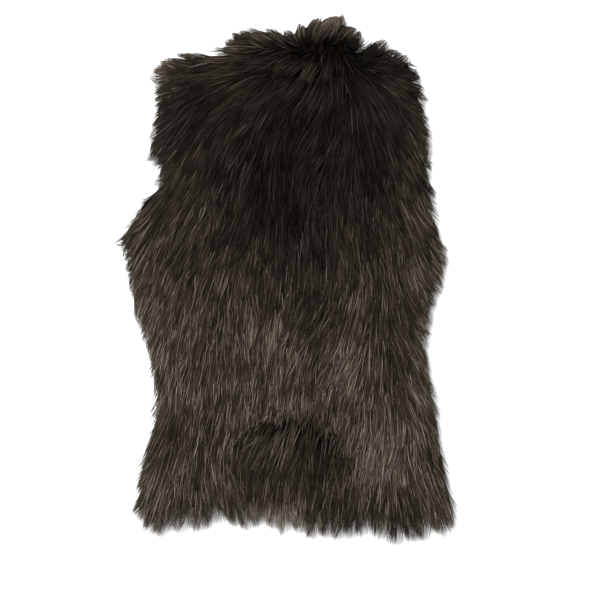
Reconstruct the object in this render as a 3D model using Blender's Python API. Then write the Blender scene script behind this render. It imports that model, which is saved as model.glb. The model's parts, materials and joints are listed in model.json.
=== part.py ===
"""A faux fur vest laid flat with its back up: the back, the two fronts beneath it and a band collar.

Metres, +Z up. The neck is towards +Y, the hem towards -Y, and the fronts rest on z = 0.
"""

import math
from collections import namedtuple

import bmesh
import bpy
import numpy as np

# Driving dimensions, with the pile in them
SEAM_GAP = 0.0003
FRONT_THICKNESS = 0.012
BACK_EDGE = 0.005
BACK_BODY = 0.0155
COLLAR_EDGE = 0.010
COLLAR_BODY = 0.037
EDGE_ROUND = 0.030
COLLAR_ROUND = 0.034
FRONT_INSET = 0.006
FRONT_NECK_DROP = 0.062
COLLAR_NOTCH = 0.045
COLLAR_END = 0.010
COLLAR_GAP = 1.5 * SEAM_GAP

# The grid that carries the back's pile
COLUMNS = 57
ROWS = 64
FRONT_ROWS = 34
COLLAR_ROWS = 11

# Locks of pile that lie over each other like shingles
LOCK_LENGTH = 0.062
LOCK_HALF_WIDTH = 0.0135
LOCK_HEIGHT = 0.0058
LOCK_PITCH_ALONG = 0.036
LOCK_PITCH_ACROSS = 0.0185
LOCK_ROOT_SHARE = 0.25
LOCK_WANDER = 0.3
SMALLEST_LOCK = 0.6
LOCK_SEED = 7
FIELD_WIDTH = (-0.22, 0.23)
FIELD_LENGTH = (-0.33, 0.36)
COMB_REACH = 0.020

# Side edges from hem to shoulder, and how far the left front lies inside the back's edge
Section = namedtuple("Section", "level left right under")
SECTIONS = (
    Section(-0.332, -0.192, 0.213, 0.006),
    Section(-0.300, -0.193, 0.213, 0.006),
    Section(-0.274, -0.194, 0.209, 0.006),
    Section(-0.242, -0.188, 0.202, 0.006),
    Section(-0.196, -0.176, 0.195, 0.006),
    Section(-0.149, -0.168, 0.187, 0.006),
    Section(-0.102, -0.175, 0.180, 0.006),
    Section(-0.071, -0.184, 0.175, 0.006),
    Section(-0.040, -0.191, 0.182, 0.006),
    Section(-0.008, -0.200, 0.189, 0.006),
    Section(0.023, -0.206, 0.199, 0.006),
    Section(0.042, -0.213, 0.201, 0.006),
    Section(0.062, -0.213, 0.195, 0.004),
    Section(0.085, -0.196, 0.189, -0.003),
    Section(0.101, -0.182, 0.185, -0.014),
    Section(0.116, -0.168, 0.182, -0.013),
    Section(0.132, -0.159, 0.180, -0.004),
    Section(0.148, -0.164, 0.181, 0.003),
    Section(0.179, -0.175, 0.183, 0.006),
    Section(0.210, -0.169, 0.177, 0.006),
    Section(0.241, -0.167, 0.171, 0.006),
    Section(0.272, -0.166, 0.167, 0.006),
    Section(0.300, -0.164, 0.165, 0.006),
)

# Ragged lower edge, from the left corner (0) to the right corner (1)
Edge = namedtuple("Edge", "across level")
HEM = (
    Edge(0.00, -0.286),
    Edge(0.03, -0.316),
    Edge(0.08, -0.322),
    Edge(0.11, -0.312),
    Edge(0.16, -0.319),
    Edge(0.23, -0.310),
    Edge(0.26, -0.305),
    Edge(0.34, -0.316),
    Edge(0.41, -0.306),
    Edge(0.44, -0.320),
    Edge(0.49, -0.312),
    Edge(0.56, -0.328),
    Edge(0.61, -0.318),
    Edge(0.67, -0.328),
    Edge(0.73, -0.320),
    Edge(0.77, -0.318),
    Edge(0.81, -0.333),
    Edge(0.89, -0.325),
    Edge(0.95, -0.316),
    Edge(0.98, -0.320),
    Edge(1.00, -0.300),
)

# Shoulders and back neck, from the left shoulder end to the right one
TOP = (
    Edge(0.00, 0.276),
    Edge(0.03, 0.289),
    Edge(0.09, 0.296),
    Edge(0.17, 0.298),
    Edge(0.23, 0.303),
    Edge(0.26, 0.299),
    Edge(0.32, 0.288),
    Edge(0.40, 0.283),
    Edge(0.50, 0.281),
    Edge(0.62, 0.283),
    Edge(0.70, 0.288),
    Edge(0.76, 0.301),
    Edge(0.79, 0.310),
    Edge(0.85, 0.308),
    Edge(0.91, 0.302),
    Edge(0.96, 0.291),
    Edge(1.00, 0.276),
)
NECK_START = 0.25
NECK_END = 0.78
NECK_BLEND = 0.08

# Free edge of the collar, from its left end to its right end
COLLAR_TOP = (
    Edge(0.00, 0.306),
    Edge(0.07, 0.321),
    Edge(0.15, 0.326),
    Edge(0.26, 0.325),
    Edge(0.37, 0.328),
    Edge(0.46, 0.321),
    Edge(0.53, 0.328),
    Edge(0.60, 0.334),
    Edge(0.70, 0.341),
    Edge(0.80, 0.343),
    Edge(0.90, 0.335),
    Edge(0.96, 0.322),
    Edge(1.00, 0.311),
)

# Small tufts that break the side edges: size, length of one wave and where it starts
Wave = namedtuple("Wave", "size length start")
SIDE_TUFTS = (
    Wave(0.0024, 0.037, 0.004),
    Wave(0.0021, 0.058, 0.019),
    Wave(0.0017, 0.097, 0.031),
)

# Rounded fur edge of a front, a row for each level
Rim = namedtuple("Rim", "height inset")
FRONT_RIM = (
    Rim(0.0, 0.005),
    Rim(0.0035, 0.0),
    Rim(0.0085, 0.0),
    Rim(FRONT_THICKNESS, 0.002),
)

# Large folds and swells of the back: the two ends of each one, its half width and its height
Fold = namedtuple("Fold", "name x0 y0 x1 y1 half_width height")
FOLDS = (
    Fold("right side parting", 0.134, 0.040, 0.131, -0.205, 0.015, -0.0065),
    Fold("right of the parting", 0.160, 0.010, 0.158, -0.180, 0.022, 0.0030),
    Fold("left of the parting", 0.100, 0.060, 0.098, -0.150, 0.022, 0.0025),
    Fold("seat arch, left", -0.084, -0.208, 0.003, -0.172, 0.013, 0.0028),
    Fold("seat arch, right", 0.003, -0.172, 0.076, -0.210, 0.013, 0.0028),
    Fold("hollow in the arch", -0.050, -0.232, 0.045, -0.240, 0.030, -0.0055),
    Fold("dent between the blades", -0.006, 0.145, 0.022, 0.048, 0.016, -0.0045),
    Fold("dent at the waist", 0.035, 0.000, 0.062, -0.045, 0.014, -0.0030),
    Fold("left blade", -0.095, 0.190, -0.120, 0.060, 0.045, 0.0030),
    Fold("right blade", 0.080, 0.200, 0.085, 0.090, 0.040, 0.0030),
    Fold("left side fold", -0.145, -0.060, -0.138, -0.150, 0.016, -0.0035),
    Fold("beside the left fold", -0.110, -0.020, -0.105, -0.170, 0.020, 0.0025),
    Fold("left armhole fold", -0.150, 0.110, -0.120, 0.020, 0.014, -0.0035),
    Fold("under the collar", -0.130, 0.262, 0.120, 0.258, 0.018, -0.0030),
)

# Way the pile lies, root to tip, in degrees from +X
Stroke = namedtuple("Stroke", "x y degrees")
COMB = (
    Stroke(-0.060, 0.312, 184),
    Stroke(0.040, 0.316, 48),
    Stroke(0.120, 0.295, -15),
    Stroke(-0.114, 0.284, 190),
    Stroke(-0.127, 0.250, 225),
    Stroke(-0.140, 0.184, 240),
    Stroke(-0.070, 0.184, 245),
    Stroke(0.000, 0.170, 275),
    Stroke(0.049, 0.197, 232),
    Stroke(0.120, 0.197, 282),
    Stroke(0.166, 0.106, 285),
    Stroke(-0.166, 0.073, 240),
    Stroke(-0.075, 0.073, 250),
    Stroke(0.010, 0.073, 275),
    Stroke(0.081, 0.073, 280),
    Stroke(-0.114, -0.024, 262),
    Stroke(0.058, -0.030, 242),
    Stroke(0.094, -0.089, 252),
    Stroke(0.146, -0.050, 298),
    Stroke(0.172, 0.002, 295),
    Stroke(-0.062, -0.102, 268),
    Stroke(-0.146, -0.206, 255),
    Stroke(-0.075, -0.232, 285),
    Stroke(-0.030, -0.212, 242),
    Stroke(0.016, -0.258, 270),
    Stroke(0.081, -0.245, 265),
    Stroke(0.179, -0.245, 282),
)

# Colour, roughness and metallic value of each piece
Finish = namedtuple("Finish", "colour roughness metallic")
BACK_FUR = Finish((0.036, 0.028, 0.022), 0.62, 0.0)
FRONT_FUR = Finish((0.026, 0.021, 0.017), 0.68, 0.0)
COLLAR_FUR = Finish((0.016, 0.013, 0.011), 0.60, 0.0)


def clear_scene():
    """Removes whatever the scene holds."""
    for old in list(bpy.data.objects):
        bpy.data.objects.remove(old, do_unlink=True)


def smooth_through(table, place):
    """Value at each place on a soft curve through the table's rows: (place, value) in each."""
    stops = np.array([row[0] for row in table])
    values = np.array([row[1] for row in table])
    slopes = np.gradient(values, stops)
    where = np.clip(np.searchsorted(stops, place) - 1, 0, len(stops) - 2)
    span = stops[where + 1] - stops[where]
    t = np.clip((place - stops[where]) / span, 0, 1)
    start, end = values[where], values[where + 1]
    leave, arrive = slopes[where] * span, slopes[where + 1] * span
    rise = 3 * t**2 - 2 * t**3
    return (
        start * (1 - rise)
        + end * rise
        + leave * (t - 2 * t**2 + t**3)
        + arrive * (t**3 - t**2)
    )


def tufts(level):
    """How far the side edge stands out at a level: blunt points with narrow nicks between them."""
    return sum(w.size * (2 * abs(np.sin(math.pi * (level - w.start) / w.length)) - 1) for w in SIDE_TUFTS)


def side_edges(level, inset=0.0, under=0.0):
    """Left and right edge at each level, drawn in by the inset; under is 1 for the fronts."""
    left = smooth_through([(s.level, s.left) for s in SECTIONS], level)
    right = smooth_through([(s.level, s.right) for s in SECTIONS], level)
    left = left + under * smooth_through([(s.level, s.under) for s in SECTIONS], level)
    return left - tufts(level) + inset, right + tufts(-level) - inset - under * FRONT_INSET


def plan(across, up, inset=0.0, under=0.0):
    """Point of the flat garment: across runs 0 to 1 from left to right, up from hem to shoulder."""
    low = smooth_through(HEM, across) + inset + under * FRONT_INSET
    high = smooth_through(TOP, across) - inset - under * FRONT_INSET
    y = low + (high - low) * up
    left, right = side_edges(y, inset, under)
    return left + (right - left) * across, y


def comb_direction(x, y):
    """Unit direction in which the pile lies at each point."""
    total_x = np.zeros_like(x)
    total_y = np.zeros_like(y)
    for stroke in COMB:
        near = (x - stroke.x) ** 2 + (y - stroke.y) ** 2 + COMB_REACH**2
        angle = math.radians(stroke.degrees)
        total_x += math.cos(angle) / near**2
        total_y += math.sin(angle) / near**2
    length = np.hypot(total_x, total_y)
    return total_x / length, total_y / length


def lock_roots():
    """Roots of the locks, in staggered rows that wander a little."""
    rng = np.random.default_rng(LOCK_SEED)
    rows = np.arange(*FIELD_LENGTH, LOCK_PITCH_ALONG)
    columns = np.arange(*FIELD_WIDTH, LOCK_PITCH_ACROSS)
    x, y = np.meshgrid(columns, rows)
    x[1::2] += LOCK_PITCH_ACROSS / 2
    x += rng.uniform(-LOCK_WANDER, LOCK_WANDER, x.shape) * LOCK_PITCH_ACROSS
    y += rng.uniform(-LOCK_WANDER, LOCK_WANDER, y.shape) * LOCK_PITCH_ALONG
    return x.ravel(), y.ravel(), rng.uniform(SMALLEST_LOCK, 1.0, x.size)


def lock_relief(x, y):
    """Height of the locks: each one climbs from its root to its tip and drops onto the next."""
    root_x, root_y, size = lock_roots()
    dir_x, dir_y = comb_direction(root_x, root_y)
    height = np.zeros_like(x)
    for rx, ry, dx, dy, s in zip(root_x, root_y, dir_x, dir_y, size):
        along = ((x - rx) * dx + (y - ry) * dy) / (LOCK_LENGTH * s)
        across = ((x - rx) * dy - (y - ry) * dx) / (LOCK_HALF_WIDTH * s)
        climb = LOCK_ROOT_SHARE + (1 - LOCK_ROOT_SHARE) * along
        body = np.clip(1 - across**2, 0, 1) * climb
        inside = (along > 0) & (along < 1)
        height = np.where(inside, np.maximum(height, body * s), height)
    return height * LOCK_HEIGHT


def fold_relief(x, y):
    """Height that the large folds and swells add."""
    total = np.zeros_like(x)
    for fold in FOLDS:
        span_x, span_y = fold.x1 - fold.x0, fold.y1 - fold.y0
        t = ((x - fold.x0) * span_x + (y - fold.y0) * span_y) / (span_x**2 + span_y**2)
        t = np.clip(t, 0, 1)
        away = np.hypot(x - fold.x0 - t * span_x, y - fold.y0 - t * span_y)
        total += fold.height * np.exp(-((away / fold.half_width) ** 2))
    return total


def rounded(distance, reach):
    """0 at an edge and 1 beyond the reach, as a quarter ellipse."""
    t = np.clip(distance / reach, 0, 1)
    return np.sqrt(1 - (1 - t) ** 2)


def back_height(x, y, across):
    """Thickness of the back at a point of its grid: thin at a free edge, full at the neck seam."""
    left, right = side_edges(y)
    to_side = np.minimum(x - left, right - x)
    to_hem = y - smooth_through(HEM, across)
    to_top = smooth_through(TOP, across) - y
    in_neck = np.minimum(across - NECK_START, NECK_END - across)
    at_neck = rounded(in_neck + NECK_BLEND / 2, NECK_BLEND)
    to_top = to_top + at_neck * EDGE_ROUND
    edge = rounded(np.minimum(np.minimum(to_side, to_hem), to_top), EDGE_ROUND)
    relief = fold_relief(x, y) + lock_relief(x, y)
    return BACK_EDGE + edge * (BACK_BODY + relief)


def ring_of(rows, columns):
    """Grid indices once round the border, anticlockwise from the lower left corner."""
    ring = [(0, c) for c in range(columns)]
    ring += [(r, columns - 1) for r in range(1, rows)]
    ring += [(rows - 1, c) for c in range(columns - 2, -1, -1)]
    ring += [(r, 0) for r in range(rows - 2, 0, -1)]
    return ring


def slab(name, x, y, z, floor, finish):
    """Closed solid under a grid of points: grid on top, a wall round it and one flat face below."""
    rows, columns = x.shape
    mesh = bmesh.new()
    grid = [[mesh.verts.new((x[r, c], y[r, c], z[r, c])) for c in range(columns)] for r in range(rows)]
    for r in range(rows - 1):
        for c in range(columns - 1):
            mesh.faces.new((grid[r][c], grid[r][c + 1], grid[r + 1][c + 1], grid[r + 1][c]))
    ring = ring_of(rows, columns)
    low = [mesh.verts.new((x[r, c], y[r, c], floor)) for r, c in ring]
    for i, (r, c) in enumerate(ring):
        after = (i + 1) % len(ring)
        next_r, next_c = ring[after]
        mesh.faces.new((low[i], low[after], grid[next_r][next_c], grid[r][c]))
    mesh.faces.new(list(reversed(low)))
    return finished(name, mesh, finish)


def stacked(name, rings, finish):
    """Closed solid through level rings of points, from the lowest to the highest."""
    mesh = bmesh.new()
    loops = [[mesh.verts.new(point) for point in ring] for ring in rings]
    for low, high in zip(loops, loops[1:]):
        for i in range(len(low)):
            after = (i + 1) % len(low)
            mesh.faces.new((low[i], low[after], high[after], high[i]))
    mesh.faces.new(list(reversed(loops[0])))
    mesh.faces.new(loops[-1])
    return finished(name, mesh, finish)


def finished(name, mesh, finish):
    """Object with a material, from a bmesh."""
    bmesh.ops.triangulate(mesh, faces=[f for f in mesh.faces if len(f.verts) > 4])
    data = bpy.data.meshes.new(name)
    mesh.to_mesh(data)
    mesh.free()
    data.shade_smooth()
    data.set_sharp_from_angle(angle=math.radians(50))
    data.materials.append(material(name + "_fur", finish))
    piece = bpy.data.objects.new(name, data)
    bpy.context.scene.collection.objects.link(piece)
    return piece


def material(name, finish):
    """Principled material of one piece."""
    made = bpy.data.materials.new(name)
    made.use_nodes = True
    shader = made.node_tree.nodes["Principled BSDF"]
    shader.inputs["Base Color"].default_value = (*finish.colour, 1.0)
    shader.inputs["Roughness"].default_value = finish.roughness
    shader.inputs["Metallic"].default_value = finish.metallic
    return made


def back_plan():
    """Plan of the back's grid, and its across values."""
    across, up = np.meshgrid(np.linspace(0, 1, COLUMNS), np.linspace(0, 1, ROWS))
    x, y = plan(across, up)
    return x, y, across


def back_panel():
    """The back: a flat inside over the fronts, and a pile of locks and folds outside."""
    x, y, across = back_plan()
    inside = FRONT_THICKNESS + SEAM_GAP
    return slab("back_panel", x, y, inside + back_height(x, y, across), inside, BACK_FUR)


def neck_columns():
    """Range of the back's columns that the collar is sewn to."""
    across = np.linspace(0, 1, COLUMNS)
    inside = np.flatnonzero((across >= NECK_START) & (across <= NECK_END))
    return inside[0], inside[-1] + 1


def front_neck(x, y):
    """Level of the front neck below each point of the back neck: a round dip."""
    middle = (x[0] + x[-1]) / 2
    t = (x - middle) / (x[-1] - middle)
    return y - FRONT_NECK_DROP * (1 - t**2)


def collar():
    """Band collar laid flat: it stands past the back neck, and its ends meet in the front neck."""
    back_x, back_y, _ = back_plan()
    first, last = neck_columns()
    neck_x, neck_y = back_x[-1, first:last], back_y[-1, first:last] + COLLAR_GAP
    along = (neck_x - neck_x[0]) / (neck_x[-1] - neck_x[0])
    free_y = smooth_through(COLLAR_TOP, along)
    dip_y = front_neck(neck_x, neck_y)
    dip_y[COLUMNS // 2 - first] += COLLAR_NOTCH
    out = np.linspace(0, 1, COLLAR_ROWS)[:, None]
    x = neck_x + out * 0
    y = neck_y + (free_y - neck_y) * out
    to_end = np.minimum(along, 1 - along) * (neck_x[-1] - neck_x[0])
    to_edge = np.minimum(free_y - y, to_end + COLLAR_END)
    bulge = COLLAR_BODY - COLLAR_EDGE + fold_relief(x, y) + lock_relief(x, y)
    z = COLLAR_EDGE + rounded(to_edge, COLLAR_ROUND) * bulge
    under = np.full((1, len(neck_x)), FRONT_THICKNESS)
    x = np.vstack([neck_x, neck_x, x])
    y = np.vstack([dip_y, neck_y, y])
    z = np.vstack([under, under, z])
    return slab("collar", x, y, z, 0.0, COLLAR_FUR)


def front_ring(side, height, inset):
    """One level ring round a front; side is -1 for the left front and 1 for the right."""
    back_x, back_y, back_across = back_plan()
    first, last = neck_columns()
    middle = COLUMNS // 2
    across, up = np.meshgrid(back_across[0], np.linspace(0, 1, FRONT_ROWS))
    x, y = plan(across, up, inset, under=1.0)
    neck_x = back_x[-1, first:last]
    x[-1, first:last] = neck_x
    y[-1, first:last] = front_neck(neck_x, back_y[-1, first:last])
    low_x, low_y = plan(0.5, 0.0, under=1.0)
    y[:, middle] = np.linspace(low_y, y[-1, middle], FRONT_ROWS)
    x[:, middle] = np.linspace(low_x, x[-1, middle], FRONT_ROWS) + side * SEAM_GAP / 2
    half = slice(0, middle + 1) if side < 0 else slice(middle, COLUMNS)
    x, y = x[:, half], y[:, half]
    return [(x[r, c], y[r, c], height) for r, c in ring_of(*x.shape)]


def front(name, side):
    """A front beneath the back: pile pressed flat on the floor, a rounded fur edge, a flat inside."""
    rings = [front_ring(side, rim.height, rim.inset) for rim in FRONT_RIM]
    return stacked(name, rings, FRONT_FUR)


def vest():
    """All the pieces, on an empty that puts the middle of their box on the origin."""
    pieces = (back_panel(), front("front_left", -1), front("front_right", 1), collar())
    points = np.array([v.co for piece in pieces for v in piece.data.vertices])
    middle = (points.min(axis=0) + points.max(axis=0)) / 2
    whole = bpy.data.objects.new("vest", None)
    bpy.context.scene.collection.objects.link(whole)
    whole.location = (-middle[0], -middle[1], 0.0)
    for piece in pieces:
        piece.parent = whole


clear_scene()
vest()
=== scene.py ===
"""Looks of a faux fur vest that lies flat with its back up.

Each sewn piece is a thin fur cloth on the form of its solid, with a pile of strands combed over it.
Metres, +Z up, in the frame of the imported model.
"""

from __future__ import annotations

import json
import logging
from dataclasses import dataclass, field
from functools import reduce
from typing import Any, NamedTuple

import bpy
import numpy as np
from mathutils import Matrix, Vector
from mathutils.bvhtree import BVHTree

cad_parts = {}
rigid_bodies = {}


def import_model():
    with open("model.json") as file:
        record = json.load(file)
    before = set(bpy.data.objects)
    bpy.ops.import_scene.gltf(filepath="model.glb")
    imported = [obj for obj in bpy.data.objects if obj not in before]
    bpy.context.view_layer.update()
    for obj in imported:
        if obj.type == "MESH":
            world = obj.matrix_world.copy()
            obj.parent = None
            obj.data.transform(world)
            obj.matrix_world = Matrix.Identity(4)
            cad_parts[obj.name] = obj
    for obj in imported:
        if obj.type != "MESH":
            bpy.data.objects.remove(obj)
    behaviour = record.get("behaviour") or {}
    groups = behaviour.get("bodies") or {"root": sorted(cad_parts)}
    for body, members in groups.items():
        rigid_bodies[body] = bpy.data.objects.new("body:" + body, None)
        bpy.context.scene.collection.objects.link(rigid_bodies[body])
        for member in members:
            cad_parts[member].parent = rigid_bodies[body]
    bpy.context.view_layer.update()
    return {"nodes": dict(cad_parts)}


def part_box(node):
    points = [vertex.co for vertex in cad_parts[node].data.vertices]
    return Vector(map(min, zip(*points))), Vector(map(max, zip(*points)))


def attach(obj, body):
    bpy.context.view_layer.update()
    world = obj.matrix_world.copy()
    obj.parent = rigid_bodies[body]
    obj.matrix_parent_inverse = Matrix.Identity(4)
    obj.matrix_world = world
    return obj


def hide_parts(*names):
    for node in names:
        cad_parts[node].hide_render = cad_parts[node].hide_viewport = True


log = logging.getLogger("vest")

FLOOR_CLEARANCE = 0.0004
Socket = bpy.types.NodeSocket
CHART = "OFBake"
KEPT_ATTRIBUTES = ("position", CHART, "material_index", "sharp_face")
STORE = "GeometryNodeStoreNamedAttribute"
SCATTER = "GeometryNodeDistributePointsOnFaces"
UP = (0.0, 0.0, 1.0)

# The comb counts as whole above 1 / WHOLE_ABOVE of its full length
WHOLE_ABOVE = 1.25
LEAST_WHOLE = 0.35
TONE_REACH = 0.022

# A strand cut short by 1 / LOOSENING of its length is fully loose
LOOSENING = 2.5

# Pile that is pressed between a cloth and the floor
PRESSED_OVER = 0.005
# The pressed pile's tone is darkened a little with painted shade, as it lies under the vest
PRESSED_PAINTED_SHADE = 0.9
PRESSED_TIP = 0.0002
PRESSED_SAG = 0.0015
ROOT_DEPTH = 0.0004


class Stroke(NamedTuple):
    """One stroke of the comb: where it is made and which way it leads, in degrees from +X."""

    x: float
    y: float
    degrees: float


class Patch(NamedTuple):
    """How light the pile is round a place, from 0, near black, to 1, pale grey brown: mostly painted light
    and shade, with some of the fur's own mottling.
    """

    x: float
    y: float
    tone: float


class Margins(NamedTuple):
    """How far the cloth's edges lie inside the outline of its pile."""

    left: float
    right: float
    hem: float
    top: float


BACK_COMB = tuple(
    Stroke(*row)
    for row in (
        (-0.110, 0.298, 172), (-0.065, 0.285, 186), (-0.060, 0.262, 212), (-0.025, 0.278, 186),
        (-0.025, 0.252, 226), (0.004, 0.281, 204), (0.006, 0.258, 222), (0.028, 0.284, 232),
        (0.030, 0.260, 232), (0.055, 0.284, 250), (0.052, 0.260, 246), (0.078, 0.286, 276),
        (0.072, 0.260, 262), (0.092, 0.292, 84), (0.099, 0.298, 64), (0.094, 0.280, -10),
        (0.112, 0.277, -24), (0.094, 0.258, 286), (0.120, 0.256, 310), (0.066, 0.236, 256),
        (0.110, 0.302, 58), (0.124, 0.295, 54), (0.136, 0.288, 46), (0.158, 0.275, -26),
        (-0.114, 0.278, 188), (-0.150, 0.275, 186), (-0.132, 0.250, 212), (-0.104, 0.222, 244),
        (-0.165, 0.235, 210), (-0.140, 0.184, 240), (-0.170, 0.150, 228), (-0.076, 0.236, 238),
        (-0.110, 0.175, 246), (-0.060, 0.184, 249), (0.000, 0.235, 262), (0.000, 0.170, 275),
        (0.049, 0.190, 234), (0.100, 0.240, 276), (0.120, 0.170, 282), (0.170, 0.200, 302),
        (0.180, 0.106, 292), (-0.198, 0.062, 232), (-0.176, 0.030, 250), (-0.150, 0.080, 246),
        (-0.075, 0.073, 252), (0.010, 0.073, 275), (0.070, 0.073, 276), (0.120, 0.090, 284),
        (-0.185, -0.030, 257), (-0.114, -0.024, 262), (-0.040, -0.010, 268), (0.050, -0.030, 240),
        (0.094, -0.080, 250), (0.110, -0.020, 262), (0.148, -0.050, 300), (0.180, 0.000, 302),
        (-0.062, -0.102, 266), (0.020, -0.120, 262), (0.160, -0.130, 292), (-0.146, -0.120, 260),
        (-0.160, -0.206, 250), (-0.120, -0.180, 262), (-0.075, -0.232, 288), (-0.030, -0.205, 238),
        (0.016, -0.258, 270), (0.081, -0.245, 264), (0.120, -0.180, 256), (0.179, -0.245, 286),
        (-0.170, -0.290, 252), (-0.080, -0.290, 274), (0.050, -0.300, 268), (0.195, -0.300, 288),
    )
)

COLLAR_COMB = tuple(
    Stroke(*row)
    for row in (
        (-0.078, 0.300, 186), (-0.060, 0.320, 172), (-0.055, 0.288, 196), (-0.030, 0.322, 164),
        (-0.030, 0.290, 198), (-0.005, 0.304, 160), (-0.005, 0.288, 206), (-0.002, 0.320, 104),
        (0.014, 0.318, 84), (0.012, 0.289, 222), (0.016, 0.305, 120), (0.034, 0.289, 238),
        (0.034, 0.306, 62), (0.050, 0.328, 56), (0.060, 0.290, 256), (0.060, 0.306, 54),
        (0.068, 0.314, 58), (0.076, 0.289, 284), (0.088, 0.297, 14), (0.090, 0.307, 48),
    )
)

FRONT_COMB = tuple(
    Stroke(*row)
    for row in (
        (-0.150, 0.290, 175), (-0.060, 0.290, 200), (-0.165, 0.230, 200), (-0.160, 0.170, 205),
        (-0.190, 0.110, 212), (-0.205, 0.050, 230), (-0.090, 0.150, 250), (-0.170, -0.080, 255),
        (-0.080, 0.000, 268), (-0.170, -0.290, 255), (-0.070, -0.300, 270), (-0.020, 0.180, 268),
        (0.020, 0.180, 272), (0.050, -0.300, 270), (0.180, -0.300, 288), (0.080, 0.000, 272),
        (0.180, -0.080, 290), (0.090, 0.150, 290), (0.200, 0.040, 300), (0.185, 0.110, 312),
        (0.170, 0.200, 320), (0.060, 0.290, 340), (0.150, 0.285, 335),
    )
)

# Painted light and shade: the top of the back is darker and the lower half lighter as the light falls, and
# folds and hollows are darker where shade lies, over some of the fur's own mottling
TONES_WITH_PAINTED_LIGHT = tuple(
    Patch(*row)
    for row in (
        (-0.060, 0.315, 0.42), (0.000, 0.318, 0.60), (0.050, 0.325, 0.78), (0.130, 0.285, 0.42),
        (-0.140, 0.275, 0.58), (-0.068, 0.262, 0.25), (-0.098, 0.245, 0.20), (-0.112, 0.214, 0.22),
        (0.000, 0.290, 0.25), (0.055, 0.288, 0.24), (0.040, 0.245, 0.11), (0.000, 0.180, 0.07),
        (-0.072, 0.190, 0.29), (-0.150, 0.190, 0.39), (0.080, 0.180, 0.21), (0.120, 0.220, 0.20),
        (0.165, 0.190, 0.40), (0.000, 0.110, 0.12), (0.080, 0.120, 0.22), (-0.100, 0.090, 0.39),
        (-0.190, 0.060, 0.46), (0.090, 0.085, 0.32), (0.150, 0.080, 0.44), (0.190, 0.060, 0.54),
        (0.022, 0.056, 0.24), (0.036, 0.014, 0.33), (0.074, 0.028, 0.46), (-0.020, 0.050, 0.38),
        (-0.060, 0.020, 0.47), (-0.170, -0.020, 0.56), (-0.136, -0.070, 0.62), (-0.100, -0.030, 0.49),
        (0.040, -0.015, 0.38), (-0.010, -0.045, 0.64), (0.100, 0.000, 0.49), (0.145, -0.010, 0.49),
        (0.185, 0.000, 0.59), (-0.130, -0.110, 0.56), (-0.040, -0.110, 0.54), (0.050, -0.110, 0.53),
        (0.100, -0.080, 0.71), (0.133, -0.090, 0.40), (0.136, -0.050, 0.44), (0.160, -0.060, 0.62),
        (0.175, -0.110, 0.60), (-0.150, -0.190, 0.47), (-0.140, -0.236, 0.60), (-0.090, -0.190, 0.50),
        (0.000, -0.160, 0.54), (-0.030, -0.225, 0.34), (0.040, -0.230, 0.38), (0.128, -0.200, 0.82),
        (0.100, -0.160, 0.63), (0.078, -0.205, 0.42), (0.180, -0.220, 0.47), (-0.150, -0.280, 0.60),
        (-0.080, -0.280, 0.44), (-0.045, -0.280, 0.72), (-0.010, -0.285, 0.84), (0.060, -0.290, 0.46),
        (0.130, -0.280, 0.43), (0.180, -0.290, 0.54),
    )
)


class Weaver:
    """Adds nodes to a node tree and links them, so that a tree reads like a sum."""

    def __init__(self, tree: bpy.types.NodeTree) -> None:
        """Keeps the tree that is woven."""
        self.tree = tree

    def feed(self, socket: Socket, value: Any) -> None:
        """Links a socket to another, or sets its value.

        Args:
            socket: The input to fill.
            value: An output socket, or a plain value.
        """
        if isinstance(value, Socket):
            self.tree.links.new(value, socket)
        else:
            socket.default_value = value

    def node(self, kind: str, inputs: dict[Any, Any], **settings: Any) -> bpy.types.Node:
        """Adds one node.

        Args:
            kind: Blender's name for the node.
            inputs: Name or place of each socket, and what goes in.
            **settings: The node's own properties.

        Returns:
            The new node.
        """
        made = self.tree.nodes.new(kind)
        for name, value in settings.items():
            setattr(made, name, value)
        for name, value in inputs.items():
            self.feed(made.inputs[name], value)
        return made

    def number(self, operation: str, *values: Any) -> Socket:
        """Result of one step of arithmetic."""
        return self.node("ShaderNodeMath", dict(enumerate(values)), operation=operation).outputs[0]

    def times(self, *values: Any) -> Socket:
        """Product of several numbers, taken from the left."""
        return reduce(lambda product, more: self.number("MULTIPLY", product, more), values)

    def line(self, value: Any, slope: Any, base: Any) -> Socket:
        """A number times a slope, plus a base."""
        return self.number("MULTIPLY_ADD", value, slope, base)

    def vector(self, operation: str, *values: Any) -> Socket:
        """Result of one step on vectors."""
        return self.node("ShaderNodeVectorMath", dict(enumerate(values)), operation=operation).outputs[0]

    def scaled(self, vector: Any, factor: Any) -> Socket:
        """A vector times a number."""
        return self.node("ShaderNodeVectorMath", {0: vector, "Scale": factor}, operation="SCALE").outputs[0]

    def summed(self, *vectors: Any) -> Socket:
        """Sum of several vectors."""
        return reduce(lambda total, more: self.vector("ADD", total, more), vectors)

    def upright(self, height: Any) -> Socket:
        """A vector straight up, of the given height."""
        return self.node("ShaderNodeCombineXYZ", {"Z": height}).outputs[0]

    def parts(self, vector: Any) -> bpy.types.bpy_prop_collection:
        """Sockets of a vector's x, y and z."""
        return self.node("ShaderNodeSeparateXYZ", {0: vector}).outputs

    def ramp(self, place: Any, stops: list[tuple[float, tuple[float, float, float]]]) -> Socket:
        """A colour ramp.

        Args:
            place: Where on the ramp, from 0 to 1.
            stops: Place and colour of each stop.

        Returns:
            The colour's socket.
        """
        made = self.node("ShaderNodeValToRGB", {"Fac": place})
        elements = made.color_ramp.elements
        while len(elements) < len(stops):
            elements.new(0.5)
        for element, (position, colour) in zip(elements, stops):
            element.position = position
            element.color = (*colour, 1.0)
        return made.outputs["Color"]


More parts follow.
